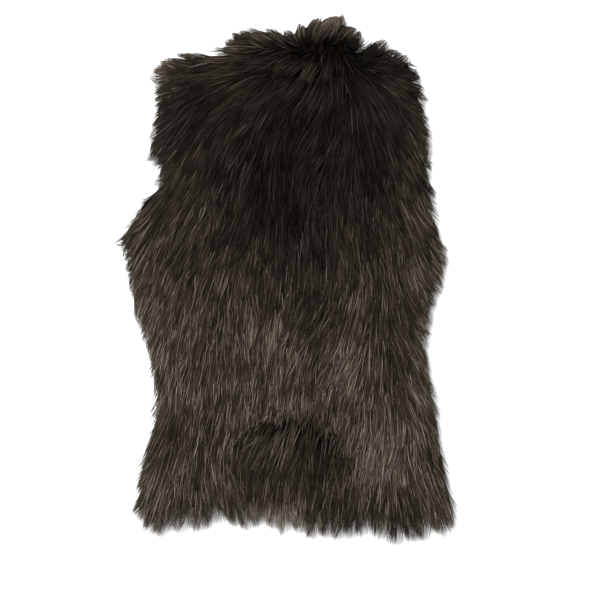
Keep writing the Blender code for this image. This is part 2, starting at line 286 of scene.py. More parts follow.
class PileTree:
    """Geometry Nodes that lay a pile on a cloth: strands that gather into locks and lie as combed."""

    NUMBERS = (
        "Density",
        "Lock spacing",
        "Strand width",
        "Length",
        "Gather",
        "Turn",
        "Sway",
        "Light",
        "Lowest",
    )
    COUNTS = ("Segments", "Seed")

    # What sets the chance numbers of locks, strands and tints apart, and a strand's own share of the turn
    LOCK_SALT = 10
    STRAND_SALT = 20
    TINT_SALT = 40
    STRAND_SHARE = 0.45

    # How far strands stray: turns in radians, and the rest as shares
    PARTED_TURN = 0.7
    LOOSE_TURN = 0.12
    MEAN_LENGTH = 0.96
    LENGTH_SPREAD = 0.16
    BODY_SPREAD = 0.45
    TINT_SPREAD = 0.09

    # How the pile thins where the strokes part, how locks crowd, and how loose tips gather more
    THINNING = 0.3
    LOCK_CROWD = 1.6
    LOOSE_GATHER = 0.45

    # Powers: of the way along a strand for its pull and taper, of the comb's length for its arch with its
    # painted shade, and for the painted glint of guard hairs
    PULL = 1.3
    TAPER = 2.2
    ARCH_AND_SHADE_FADE = 2.0
    PAINTED_GLINT_FADE = 3.0

    # Slope and base of the strand's own tint and of rare strands lightened as painted glints, on the lock's
    # tint
    OWN_TINT = (0.14, 0.07)
    GLINT = (0.45, 0.11)
    RARITY = 4.0

    # How far the chart stays clear of its edges, and how wide a strand is on it
    CHART_MARGIN = 0.01
    CHART_WIDTH = 0.003

    def __init__(self) -> None:
        """Builds the tree with its named inputs."""
        self.tree = bpy.data.node_groups.new("lay pile", "GeometryNodeTree")
        self.weave = Weaver(self.tree)
        face = self.tree.interface
        face.new_socket("Cloth", in_out="INPUT", socket_type="NodeSocketGeometry")
        for name in self.NUMBERS:
            face.new_socket(name, in_out="INPUT", socket_type="NodeSocketFloat")
        for name in self.COUNTS:
            face.new_socket(name, in_out="INPUT", socket_type="NodeSocketInt")
        face.new_socket("Fur", in_out="INPUT", socket_type="NodeSocketMaterial")
        face.new_socket("Pile", in_out="OUTPUT", socket_type="NodeSocketGeometry")
        self.source = self.tree.nodes.new("NodeGroupInput").outputs
        self.build()

    def identifiers(self) -> dict[str, str]:
        """Identifier of each named input."""
        sockets = [item for item in self.tree.interface.items_tree if item.item_type == "SOCKET"]
        return {item.name: item.identifier for item in sockets if item.in_out == "INPUT"}

    def read(self, name: str, kind: str = "FLOAT") -> Socket:
        """Value of a named attribute of the geometry at hand."""
        made = self.weave.node("GeometryNodeInputNamedAttribute", {"Name": name}, data_type=kind)
        return made.outputs["Attribute"]

    def way(self, name: str) -> Socket:
        """Value of a named vector of the geometry at hand."""
        return self.read(name, "FLOAT_VECTOR")

    def keep(self, points: Any, name: str, value: Any, kind: str = "FLOAT_VECTOR") -> Socket:
        """The points, with a named attribute stored on them."""
        inputs = {"Geometry": points, "Name": name, "Value": value}
        return self.weave.node(STORE, inputs, data_type=kind, domain="POINT").outputs[0]

    def place(self) -> Socket:
        """Position of the geometry at hand."""
        return self.weave.node("GeometryNodeInputPosition", {}).outputs[0]

    def chance(self, salt: int) -> bpy.types.bpy_prop_collection:
        """Three chance numbers from -1 to 1 for each point.

        Args:
            salt: Sets this set of numbers apart.

        Returns:
            Sockets of the three numbers.
        """
        seed = self.weave.number("ADD", self.source["Seed"], float(salt))
        inputs = {0: (-1.0, -1.0, -1.0), 1: (1.0, 1.0, 1.0), "Seed": seed}
        made = self.weave.node("FunctionNodeRandomValue", inputs, data_type="FLOAT_VECTOR")
        return self.weave.parts(made.outputs[0])

    def whole(self) -> Socket:
        """Length of the comb's vector, which is less than 1 where the strokes part."""
        inputs = {0: self.way("comb")}
        return self.weave.node("ShaderNodeVectorMath", inputs, operation="LENGTH").outputs["Value"]

    def combed(self, points: Any, salt: int, share: float) -> Socket:
        """Gives points the path of a strand: its run, its bend, its arch and its tone.

        Args:
            points: Points on the cloth, with the cloth's own attributes.
            salt: Sets this set of chance numbers apart.
            share: How much of the full turn, sway and spread of tone the points take.

        Returns:
            The points with the path stored on them.
        """
        weave, whole = self.weave, self.whole()
        first, second = self.chance(salt), self.chance(salt + 1)
        parted = weave.line(whole, -self.PARTED_TURN, self.PARTED_TURN)
        turn = weave.number("ADD", self.source["Turn"], parted)
        turn = weave.line(self.read("loose"), self.LOOSE_TURN, turn)
        inputs = {"Vector": self.way("comb"), "Angle": weave.times(first[0], weave.times(turn, share))}
        turned = weave.node("ShaderNodeVectorRotate", inputs, rotation_type="Z_AXIS").outputs[0]
        stretch = weave.line(first[1], self.LENGTH_SPREAD, self.MEAN_LENGTH)
        reach = weave.times(self.read("reach"), weave.times(stretch, self.source["Length"]))
        body = weave.line(second[0], self.BODY_SPREAD * share, 1.0 - self.BODY_SPREAD * share)
        drop = weave.times(self.read("drop"), whole, body)
        run = weave.vector("ADD", weave.scaled(turned, reach), weave.upright(drop))
        sway = weave.times(self.source["Sway"], share, first[2])
        bend = weave.scaled(weave.vector("CROSS_PRODUCT", turned, UP), weave.times(reach, sway))
        # Where the strokes part the strands lie flatter, and their tint is darkened with painted shade, as of
        # roots seen in a parting
        flatter_and_shaded = weave.number("POWER", whole, self.ARCH_AND_SHADE_FADE)
        arch = weave.times(self.read("arch"), flatter_and_shaded, body)
        tint = weave.line(second[1], self.TINT_SPREAD * share, weave.times(self.read("tone"), flatter_and_shaded))
        kept = self.keep(self.keep(points, "run", run), "bend", bend)
        return self.keep(self.keep(kept, "arch_own", arch, "FLOAT"), "tint", tint, "FLOAT")

    def from_lock(self, locks: Any, value: Any, kind: str = "FLOAT") -> Socket:
        """Value at the strand's own lock, of a field on the locks."""
        inputs = {"Geometry": locks, "Value": value, "Index": self.read("lock", "INT")}
        return self.weave.node("GeometryNodeSampleIndex", inputs, data_type=kind, domain="POINT").outputs[0]

    def scattered(self) -> tuple[Socket, Socket]:
        """Scatters the strands and their locks.

        Returns:
            Roots of the strands, and the middles of the locks that they gather to.
        """
        weave, spacing = self.weave, self.source["Lock spacing"]
        shared = {"Mesh": self.source["Cloth"], "Seed": self.source["Seed"]}
        sparser = weave.line(self.whole(), self.THINNING, 1.0 - self.THINNING)
        density = weave.times(self.source["Density"], sparser, self.read("density"))
        roots = weave.node(SCATTER, {**shared, "Density": density}, distribute_method="RANDOM")
        most = weave.number("DIVIDE", self.LOCK_CROWD, weave.number("POWER", spacing, 2.0))
        inputs = {**shared, "Distance Min": spacing, "Density Max": most}
        locks = weave.node(SCATTER, inputs, distribute_method="POISSON")
        return roots.outputs["Points"], locks.outputs["Points"]

    def gathered(self, roots: Any, locks: Any) -> Socket:
        """Strand roots that know how far they are from their lock's path.

        Args:
            roots: The strands' roots.
            locks: The locks' points.

        Returns:
            The roots with the way to the lock's path stored on them.
        """
        weave, place = self.weave, self.place()
        nearest = weave.node("GeometryNodeSampleNearest", {"Geometry": locks}, domain="POINT").outputs[0]
        kept = self.keep(roots, "lock", nearest, "INT")
        for name, value in {"root": place, "run": self.way("run"), "bend": self.way("bend")}.items():
            away = weave.vector("SUBTRACT", self.from_lock(locks, value, "FLOAT_VECTOR"), value)
            kept = self.keep(kept, f"to_{name}", away)
        arch = self.read("arch_own")
        away = weave.number("SUBTRACT", self.from_lock(locks, arch), arch)
        kept = self.keep(kept, "to_arch", away, "FLOAT")
        # Painted glints: a few strands are lightened at random to stand for highlights on the hair, and guard
        # hairs are lightened further, less where the strokes part
        lock_tint, chance = self.from_lock(locks, self.read("tint")), self.chance(self.TINT_SALT)[0]
        glint = weave.number("POWER", weave.number("MAXIMUM", chance, 0.0), self.RARITY)
        rare = weave.line(glint, weave.line(lock_tint, *self.GLINT), lock_tint)
        light = weave.times(self.source["Light"], weave.number("POWER", self.whole(), self.PAINTED_GLINT_FADE))
        tint = weave.number("ADD", weave.line(chance, weave.line(lock_tint, *self.OWN_TINT), rare), light)
        return self.keep(self.keep(kept, "tint", tint, "FLOAT"), "root", place)

    def strands(self, roots: Any) -> Socket:
        """One pointed three-sided strand on each root, still straight.

        Args:
            roots: The strands' roots.

        Returns:
            The strands as a mesh.
        """
        sizes = {"Radius Top": 0.0, "Radius Bottom": 1.0, "Depth": 1.0}
        inputs = {"Vertices": 3, "Side Segments": self.source["Segments"], **sizes}
        cone = self.weave.node("GeometryNodeMeshCone", inputs, fill_type="NGON").outputs["Mesh"]
        inputs = {"Points": roots, "Instance": self.keep(cone, "local", self.place())}
        placed = self.weave.node("GeometryNodeInstanceOnPoints", inputs).outputs[0]
        return self.weave.node("GeometryNodeRealizeInstances", {0: placed}).outputs[0]

    def laid(self, strands: Any) -> Socket:
        """Strands bent along their path, gathered towards their lock and thinned to a point.

        Args:
            strands: The straight strands.

        Returns:
            The combed strands.
        """
        weave, local = self.weave, self.way("local")
        along = weave.parts(local)[2]
        squared = weave.number("POWER", along, 2.0)
        hump = weave.times(weave.number("SUBTRACT", along, squared), 4.0)
        hump_slope = weave.line(along, -8.0, 4.0)
        run, bend, arch = self.way("run"), self.way("bend"), self.read("arch_own")
        raised = weave.upright(weave.times(arch, hump))
        own = weave.summed(self.way("root"), weave.scaled(run, along), weave.scaled(bend, squared), raised)
        ahead, aside = weave.scaled(self.way("to_run"), along), weave.scaled(self.way("to_bend"), squared)
        raised = weave.upright(weave.times(self.read("to_arch"), hump))
        towards = weave.summed(self.way("to_root"), ahead, aside, raised)
        gather = weave.times(self.source["Gather"], weave.line(self.read("loose"), self.LOOSE_GATHER, 1.0))
        pull = weave.times(gather, weave.number("POWER", along, self.PULL))
        path = weave.vector("ADD", own, weave.scaled(towards, pull))
        turn = weave.scaled(bend, weave.times(along, 2.0))
        heading = weave.summed(run, turn, weave.upright(weave.times(arch, hump_slope)))
        side = weave.vector("NORMALIZE", weave.vector("CROSS_PRODUCT", heading, UP))
        above = weave.vector("NORMALIZE", weave.vector("CROSS_PRODUCT", side, heading))
        flat = weave.parts(weave.vector("NORMALIZE", weave.vector("MULTIPLY", local, (1.0, 1.0, 0.0))))
        taper = weave.line(weave.number("POWER", along, self.TAPER), -1.0, 1.0)
        girth = weave.times(weave.times(self.source["Strand width"], 0.5), taper)
        ring = weave.vector("ADD", weave.scaled(side, flat[0]), weave.scaled(above, flat[1]))
        spot = weave.parts(weave.vector("ADD", path, weave.scaled(ring, girth)))
        height = weave.number("MAXIMUM", spot[2], self.source["Lowest"])
        held = weave.node("ShaderNodeCombineXYZ", {"X": spot[0], "Y": spot[1], "Z": height}).outputs[0]
        return weave.node("GeometryNodeSetPosition", {"Geometry": strands, "Position": held}).outputs[0]

    def charted(self, strands: Any) -> Socket:
        """Strands with their chart: tone across it, and the way from root to tip up it.

        Args:
            strands: The combed strands.

        Returns:
            The strands with the chart.
        """
        weave, margin = self.weave, self.CHART_MARGIN
        local = weave.parts(self.way("local"))
        tone = weave.line(local[0], self.CHART_WIDTH, self.read("tint"))
        tone = weave.number("MINIMUM", weave.number("MAXIMUM", tone, margin), 1.0 - margin)
        along = weave.line(local[2], 1.0 - 2 * margin, margin)
        chart = weave.node("ShaderNodeCombineXYZ", {"X": tone, "Y": along}).outputs[0]
        inputs = {"Geometry": strands, "Name": CHART, "Value": chart}
        return weave.node(STORE, inputs, data_type="FLOAT2", domain="CORNER").outputs[0]

    def build(self) -> None:
        """Joins the steps from cloth to dressed pile."""
        roots, locks = self.scattered()
        locks = self.combed(locks, self.LOCK_SALT, 1.0)
        roots = self.combed(roots, self.STRAND_SALT, self.STRAND_SHARE)
        pile = self.charted(self.laid(self.strands(self.gathered(roots, locks))))
        smooth = self.weave.node("GeometryNodeSetShadeSmooth", {"Geometry": pile}).outputs[0]
        inputs = {"Geometry": smooth, "Material": self.source["Fur"]}
        dressed = self.weave.node("GeometryNodeSetMaterial", inputs).outputs[0]
        self.weave.feed(self.tree.nodes.new("NodeGroupOutput").inputs["Pile"], dressed)


def plain_material(
    name: str, roughness: float, gloss: float = 0.0
) -> tuple[bpy.types.Material, bpy.types.Node]:
    """A material with one plain shader.

    Args:
        name: Its name.
        roughness: Its roughness.
        gloss: Its level of gloss, from 0.

    Returns:
        The material and its shader.
    """
    made = bpy.data.materials.new(name)
    made.use_nodes = True
    shader = made.node_tree.nodes["Principled BSDF"]
    shader.inputs["Roughness"].default_value = roughness
    shader.inputs["Specular IOR Level"].default_value = gloss
    return made, shader


@dataclass(frozen=True)
class FurFinish:
    """Soft acrylic fur: its colour follows the strand's tone, with painted shade that darkens it towards the
    root and a painted glint as a lighter band near the tip.
    """

    name: str
    roughness: float = 0.45
    gloss: float = 0.05
    tones: tuple[tuple[float, tuple[float, float, float]], ...] = (
        (0.00, (0.0028, 0.0022, 0.0018)),
        (0.20, (0.0084, 0.0064, 0.0047)),
        (0.40, (0.0245, 0.0182, 0.0121)),
        (0.60, (0.0580, 0.0436, 0.0298)),
        (0.80, (0.1220, 0.0955, 0.0695)),
        (1.00, (0.3200, 0.2760, 0.2240)),
    )
    root_shade_and_tip_glint: tuple[tuple[float, float], ...] = (
        (0.00, 0.20),
        (0.30, 0.35),
        (0.55, 0.68),
        (0.72, 0.88),
        (0.84, 1.20),
        (0.94, 1.06),
        (1.00, 0.80),
    )

    def make(self) -> bpy.types.Material:
        """Builds a material that reads the strand's chart.

        Returns:
            The material.
        """
        made, shader = plain_material(self.name, self.roughness, self.gloss)
        weave = Weaver(made.node_tree)
        places = weave.parts(weave.node("ShaderNodeUVMap", {}, uv_map=CHART).outputs[0])
        tone = weave.ramp(places[0], list(self.tones))
        # Painted shade at the root and a painted glint near the tip, along each strand
        shade = weave.ramp(places[1], [(place, (grey, grey, grey)) for place, grey in self.root_shade_and_tip_glint])
        weave.feed(shader.inputs["Base Color"], weave.vector("MULTIPLY", tone, shade))
        return made


@dataclass(frozen=True)
class ClothFinish:
    """Dense dark ground of the fur cloth, seen only between strands."""

    name: str
    dark: tuple[float, float, float] = (0.0014, 0.0011, 0.0009)
    light: tuple[float, float, float] = (0.0060, 0.0047, 0.0037)
    roughness: float = 0.75
    grain: float = 260.0
    detail: float = 4.0
    streak: float = 0.12
    stops: tuple[float, float] = (0.35, 0.70)
    strength: float = 0.6
    relief: float = 0.001

    def make(self) -> bpy.types.Material:
        """Builds a material with short streaks that run up and down the cloth.

        Returns:
            The material.
        """
        made, shader = plain_material(self.name, self.roughness)
        weave = Weaver(made.node_tree)
        place = weave.node("ShaderNodeTexCoord", {}).outputs["Object"]
        inputs = {"Vector": place, "Scale": (1.0, self.streak, 1.0)}
        drawn = weave.node("ShaderNodeMapping", inputs).outputs[0]
        inputs = {"Vector": drawn, "Scale": self.grain, "Detail": self.detail}
        noise = weave.node("ShaderNodeTexNoise", inputs).outputs[0]
        colours = list(zip(self.stops, (self.dark, self.light)))
        weave.feed(shader.inputs["Base Color"], weave.ramp(noise, colours))
        inputs = {"Height": noise, "Strength": self.strength, "Distance": self.relief}
        bump = weave.node("ShaderNodeBump", inputs)
        weave.feed(shader.inputs["Normal"], bump.outputs[0])
        return made


def weighted(
    x: np.ndarray, y: np.ndarray, places: np.ndarray, values: np.ndarray, reach: float
) -> np.ndarray:
    """Blend of values given at places, nearest first.

    Args:
        x: Where the blend is wanted.
        y: Where the blend is wanted.
        places: One row of x and y for each value.
        values: The values, one row each.
        reach: Within this distance a value hardly changes.

    Returns:
        One blended row of values for each point.
    """
    away = (x[..., None] - places[:, 0]) ** 2 + (y[..., None] - places[:, 1]) ** 2 + reach**2
    weight = away**-2.0
    weight /= weight.sum(axis=-1, keepdims=True)
    return weight @ values


def comb_at(x: np.ndarray, y: np.ndarray, strokes: tuple[Stroke, ...], reach: float = 0.016) -> np.ndarray:
    """Direction of the comb.

    Args:
        x: Where it is wanted.
        y: Where it is wanted.
        strokes: The comb's strokes.
        reach: Within this distance of a stroke the direction hardly changes.

    Returns:
        A level vector for each point, of length 1, or less where the strokes part.
    """
    places = np.array([(s.x, s.y) for s in strokes])
    angles = np.radians([s.degrees for s in strokes])
    mixed = weighted(x, y, places, np.stack([np.cos(angles), np.sin(angles)], axis=1), reach)
    length = np.linalg.norm(mixed, axis=-1, keepdims=True)
    mixed *= np.clip(WHOLE_ABOVE * length, LEAST_WHOLE, 1.0) / length
    return np.concatenate([mixed, np.zeros_like(mixed[..., :1])], axis=-1)


def fanned(comb: np.ndarray, out_x: np.ndarray, out_y: np.ndarray) -> np.ndarray:
    """A comb that is turned outwards near the edges.

    Args:
        comb: The comb's directions.
        out_x: How much outward to the right is added to each.
        out_y: How much upward is added to each.

    Returns:
        The turned directions, as long as before.
    """
    turned = comb + np.stack([out_x, out_y, np.zeros_like(out_x)], axis=-1)
    length = np.linalg.norm(comb, axis=-1, keepdims=True)
    return turned * length / np.linalg.norm(turned, axis=-1, keepdims=True)


@dataclass(frozen=True)
class Step:
    """A line where the pile from above ends, so that the roots below it, darkened with painted shade, show as
    a dark band.
    """

    places: tuple[tuple[float, float], ...]
    fade: float = 0.02
    least: float = 0.018
    past: float = 0.003
    flattest: float = 0.3

    def limit(self, x: np.ndarray, y: np.ndarray, comb: np.ndarray, reach: np.ndarray) -> np.ndarray:
        """Shortens the strands that would cross the line.

        Args:
            x: Their roots.
            y: Their roots.
            comb: Their directions.
            reach: Their reach.

        Returns:
            The reach of each strand.
        """
        line_x, line_y = zip(*self.places)
        above = y - np.interp(x, line_x, line_y)
        free = np.maximum(above / np.maximum(-comb[..., 1], self.flattest) + self.past, self.least)
        inside = np.clip(np.minimum(x - line_x[0], line_x[-1] - x) / self.fade, 0.0, 1.0)
        shorter = reach + inside * (np.minimum(free, reach) - reach)
        return np.where(above > 0, shorter, reach)


ARCH = Step(
    (
        (-0.068, -0.236),
        (-0.057, -0.204),
        (-0.044, -0.198),
        (-0.034, -0.181),
        (-0.012, -0.189),
        (0.004, -0.176),
        (0.018, -0.190),
        (0.034, -0.180),
        (0.047, -0.200),
        (0.062, -0.200),
        (0.076, -0.228),
        (0.092, -0.240),
    )
)


def loose_at(reach: np.ndarray, strand: float) -> np.ndarray:
    """How free tips are to gather in tufts: 1 where strands are cut short by the outline, 0 well inside."""
    return np.clip(LOOSENING * (1 - reach / strand), 0, 1)


def tone_at(x: np.ndarray, y: np.ndarray) -> np.ndarray:
    """Tone of the pile at each point, painted light and shade blended from the table."""
    places = np.array([(p.x, p.y) for p in TONES_WITH_PAINTED_LIGHT])
    return weighted(x, y, places, np.array([[p.tone] for p in TONES_WITH_PAINTED_LIGHT]), TONE_REACH)[..., 0]


class Probe:
    """Feels CAD solids with rays, so that the cloth follows their outline and their folds."""

    SAMPLES = 180
    SOFTEN = 7
    FAR = 1.0
    END = 0.004
    STEPS = 12
    SHORTEST = 0.35
    SINK = 0.0015
    ARCH_SHARE = 0.9
    ARCH_LIMITS = (0.002, 0.016)

    def __init__(self, names: tuple[str, ...], level: float = 0.0, hem_level: float | None = None) -> None:
        """Reads the solids.

        Args:
            names: The CAD nodes, the panel's own one first.
            level: Height at which the outline is felt.
            hem_level: Height at which the lower edge is felt, if another.
        """
        corners, faces = [], []
        for name in names:
            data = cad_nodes[name].data
            faces += [tuple(v + len(corners) for v in p.vertices) for p in data.polygons]
            corners += [v.co.copy() for v in data.vertices]
        self.tree = BVHTree.FromPolygons(corners, faces)
        self.low, self.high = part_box(names[0])
        self.level = level
        self.hem_level = level if hem_level is None else hem_level
        self.fractions = np.linspace(0.0, 1.0, self.SAMPLES)

    def cast(self, start: tuple[float, float, float], way: tuple[float, float, float]) -> Vector | None:
        """Where a ray first meets the solids, or nothing."""
        return self.tree.ray_cast(Vector(start), Vector(way))[0]

    def soft(self, values: list[float | None]) -> np.ndarray:
        """Fills the misses from their neighbours and takes out the small tufts.

        Args:
            values: An edge, felt at even steps.

        Returns:
            The softened edge.
        """
        places = [i for i, v in enumerate(values) if v is not None]
        known = [v for v in values if v is not None]
        padded = np.pad(np.interp(range(len(values)), places, known), self.SOFTEN // 2, mode="edge")
        return np.convolve(padded, np.ones(self.SOFTEN) / self.SOFTEN, mode="valid")

    def side(self, levels: np.ndarray, sense: int) -> np.ndarray:
        """A side edge at each level: the left one for sense 1, the right one for -1."""
        hits = [self.cast((-sense * self.FAR, y, self.level), (sense, 0, 0)) for y in levels]
        return self.soft([None if hit is None else hit.x for hit in hits])

    def end(self, places: np.ndarray, sense: int) -> np.ndarray:
        """An end edge at each place across: the lower one for sense 1, the upper one for -1."""
        level = self.hem_level if sense > 0 else self.level
        hits = [self.cast((x, -sense * self.FAR, level), (0, sense, 0)) for x in places]
        return self.soft([None if hit is None else hit.y for hit in hits])

    def height(self, x: np.ndarray, y: np.ndarray, outside: float) -> np.ndarray:
        """Top of the solids at each point, or another height outside them."""
        hits = [self.cast((a, b, self.FAR), (0, 0, -1)) for a, b in zip(x.ravel(), y.ravel())]
        return np.array([outside if hit is None else hit.z for hit in hits]).reshape(x.shape)

    def ahead(self, x: np.ndarray, y: np.ndarray, comb: np.ndarray, way: Any, outside: float) -> np.ndarray:
        """Top of the solids some way along the comb, or another height outside them."""
        return self.height(x + comb[..., 0] * way, y + comb[..., 1] * way, outside)

    def within(self, x: np.ndarray, y: np.ndarray, comb: np.ndarray, reach: float, over: Any) -> np.ndarray:
        """Reach of strands that end a little past the outline.

        Args:
            x: Their roots.
            y: Their roots.
            comb: Their directions.
            reach: Their full reach.
            over: How far past the outline a tip goes.

        Returns:
            The reach of each strand.
        """
        inside = np.zeros_like(x)
        for step in np.linspace(1.0 / self.STEPS, 1.0, self.STEPS) * reach:
            inside = np.where(self.ahead(x, y, comb, step, -self.FAR) > 0, step, inside)
        return np.clip(inside + over, self.SHORTEST * reach, reach)

    def fall(self, scalp: Scalp, edge: float, inner: float) -> None:
        """Gives a scalp the drop and the arch of strands that lie on the form of the solids.

        Args:
            scalp: The scalp.
            edge: Height of tips outside the solids.
            inner: Height of the strands' middles outside the solids.
        """
        tip = self.ahead(scalp.x, scalp.y, scalp.comb, scalp.reach, edge)
        middle = self.ahead(scalp.x, scalp.y, scalp.comb, scalp.reach / 2, inner)
        scalp.drop = tip - scalp.z - self.SINK
        scalp.arch = np.clip((middle - scalp.z - scalp.drop / 2) * self.ARCH_SHARE, *self.ARCH_LIMITS)


class PanelPlan:
    """Plan of a panel whose sides follow the solid's outline."""

    HOLD = 0.06
    SCOOP = 0.003

    def __init__(self, probe: Probe, margins: Margins, inner: int = 0) -> None:
        """Feels the panel's edges.

        Args:
            probe: Feels the panel's solid.
            margins: How far the cloth lies inside it.
            inner: -1 or 1 if the left or the right side is a straight front edge.
        """
        self.margins = margins
        self.levels = np.linspace(probe.low.y + probe.END, probe.high.y - probe.END, probe.SAMPLES)
        self.left = probe.side(self.levels, 1)
        self.right = probe.side(self.levels, -1)
        if inner:
            straight = self.left if inner < 0 else self.right
            edge = straight[probe.SAMPLES // 2] - inner * self.SCOOP
            neck = probe.end(np.array([edge]), -1)[0]
            above = self.levels > neck - 2 * self.SCOOP
            straight[above] = straight[~above][-1]
        self.fractions = probe.fractions
        self.bottom = probe.end(self.across(self.fractions, probe.low.y + self.HOLD), 1)
        self.top = probe.end(self.across(self.fractions, probe.high.y - self.HOLD / 2), -1)

    def across(self, fraction: np.ndarray, level: Any) -> np.ndarray:
        """Place across the outline at a level.

        Args:
            fraction: From 0, left, to 1, right.
            level: Where along the garment.

        Returns:
            The place's x.
        """
        left = np.interp(level, self.levels, self.left)
        right = np.interp(level, self.levels, self.right)
        return left + (right - left) * fraction

    def grid(self, columns: int, rows: int) -> tuple[np.ndarray, np.ndarray]:
        """Grid of the cloth.

        Args:
            columns: Points from left to right.
            rows: Points from hem to neck.

        Returns:
            The grid's x and y.
        """
        across, up = np.meshgrid(np.linspace(0, 1, columns), np.linspace(0, 1, rows))
        low = np.interp(across, self.fractions, self.bottom) + self.margins.hem
        high = np.interp(across, self.fractions, self.top) - self.margins.top
        y = low + (high - low) * up
        left = np.interp(y, self.levels, self.left) + self.margins.left
        right = np.interp(y, self.levels, self.right) - self.margins.right
        return left + (right - left) * across, y


class BandPlan:
    """Plan of a band with upright ends and two free edges."""

    LEAST = 0.004

    def __init__(self, probe: Probe, margins: Margins) -> None:
        """Feels the band's edges.

        Args:
            probe: Feels the band's solid.
            margins: How far the cloth lies inside it.
        """
        self.places = np.linspace(probe.low.x + probe.END, probe.high.x - probe.END, probe.SAMPLES)
        self.bottom = probe.end(self.places, 1) + margins.hem
        self.top = probe.end(self.places, -1) - margins.top
        self.first = probe.low.x + margins.left
        self.last = probe.high.x - margins.right

    def grid(self, columns: int, rows: int) -> tuple[np.ndarray, np.ndarray]:
        """Grid of the cloth.

        Args:
            columns: Points from left to right.
            rows: Points from the lower edge to the upper one.

        Returns:
            The grid's x and y.
        """
        x, up = np.meshgrid(np.linspace(self.first, self.last, columns), np.linspace(0, 1, rows))
        low = np.interp(x, self.places, self.bottom)
        high = np.maximum(np.interp(x, self.places, self.top), low + self.LEAST)
        return x, low + (high - low) * up


def placed(name: str, data: Any) -> bpy.types.Object:
    """A new object in the scene."""
    made = bpy.data.objects.new(name, data)
    bpy.context.scene.collection.objects.link(made)
    return made


def mesh_object(name: str, points: np.ndarray, faces: list[tuple[int, ...]]) -> bpy.types.Object:
    """An object from points and faces, shaded smooth.

    Args:
        name: Its name.
        points: One row of x, y and z for each point.
        faces: Point numbers of each face.

    Returns:
        The new object, in the scene.
    """
    data = bpy.data.meshes.new(name)
    data.from_pydata([tuple(p) for p in points], [], faces)
    data.shade_smooth()
    return placed(name, data)


def grid_faces(rows: int, columns: int, start: int = 0, flip: bool = False) -> list[tuple[int, ...]]:
    """Quads over a grid of points.

    Args:
        rows: Rows of points.
        columns: Points in a row.
        start: Number of the first point.
        flip: Whether the faces look down.

    Returns:
        The quads.
    """
    corners = [start + r * columns + c for r in range(rows - 1) for c in range(columns - 1)]
    quads = [(a, a + 1, a + columns + 1, a + columns) for a in corners]
    return [quad[::-1] for quad in quads] if flip else quads


def closed_cloth(
    name: str, x: np.ndarray, y: np.ndarray, top: np.ndarray, under: np.ndarray
) -> bpy.types.Object:
    """A closed cloth between two surfaces over one plan.

    Args:
        name: Its name.
        x: The plan.
        y: The plan.
        top: Heights of the upper surface.
        under: Heights of the lower surface.

    Returns:
        The cloth.
    """
    rows, columns = x.shape
    upper = np.stack([x, y, top], axis=-1).reshape(-1, 3)
    lower = np.stack([x, y, under], axis=-1).reshape(-1, 3)
    ring = list(range(columns))
    ring += [r * columns + columns - 1 for r in range(1, rows)]
    ring += [(rows - 1) * columns + c for c in range(columns - 2, -1, -1)]
    ring += [r * columns for r in range(rows - 2, 0, -1)]
    below = rows * columns
    rim = [(ring[i - 1] + below, ring[i] + below, ring[i], ring[i - 1]) for i in range(len(ring))]
    faces = grid_faces(rows, columns) + grid_faces(rows, columns, below, flip=True) + rim
    return mesh_object(name, np.concatenate([upper, lower]), faces)


@dataclass
class Scalp:
    """Surface that a pile grows from, with what each strand needs to know at its root."""

    x: np.ndarray
    y: np.ndarray
    z: np.ndarray
    comb: np.ndarray
    reach: np.ndarray
    tone: np.ndarray
    density: np.ndarray
    loose: np.ndarray
    drop: np.ndarray | None = None
    arch: np.ndarray | None = None

    def part(self, name: str, rows: slice) -> bpy.types.Object:
        """Open mesh of some of the rows, with its attributes.

        Args:
            name: Its name.
            rows: Which rows.

        Returns:
            The mesh object.
        """
        points = np.stack([self.x[rows], self.y[rows], self.z[rows]], axis=-1)
        made = mesh_object(name, points.reshape(-1, 3), grid_faces(*points.shape[:2]))
        comb = made.data.attributes.new("comb", "FLOAT_VECTOR", "POINT")
        comb.data.foreach_set("vector", self.comb[rows].reshape(-1).astype(np.float32))
        for label in ("reach", "drop", "arch", "tone", "density", "loose"):
            values = getattr(self, label)[rows].reshape(-1).astype(np.float32)
            made.data.attributes.new(label, "FLOAT", "POINT").data.foreach_set("value", values)
        return made


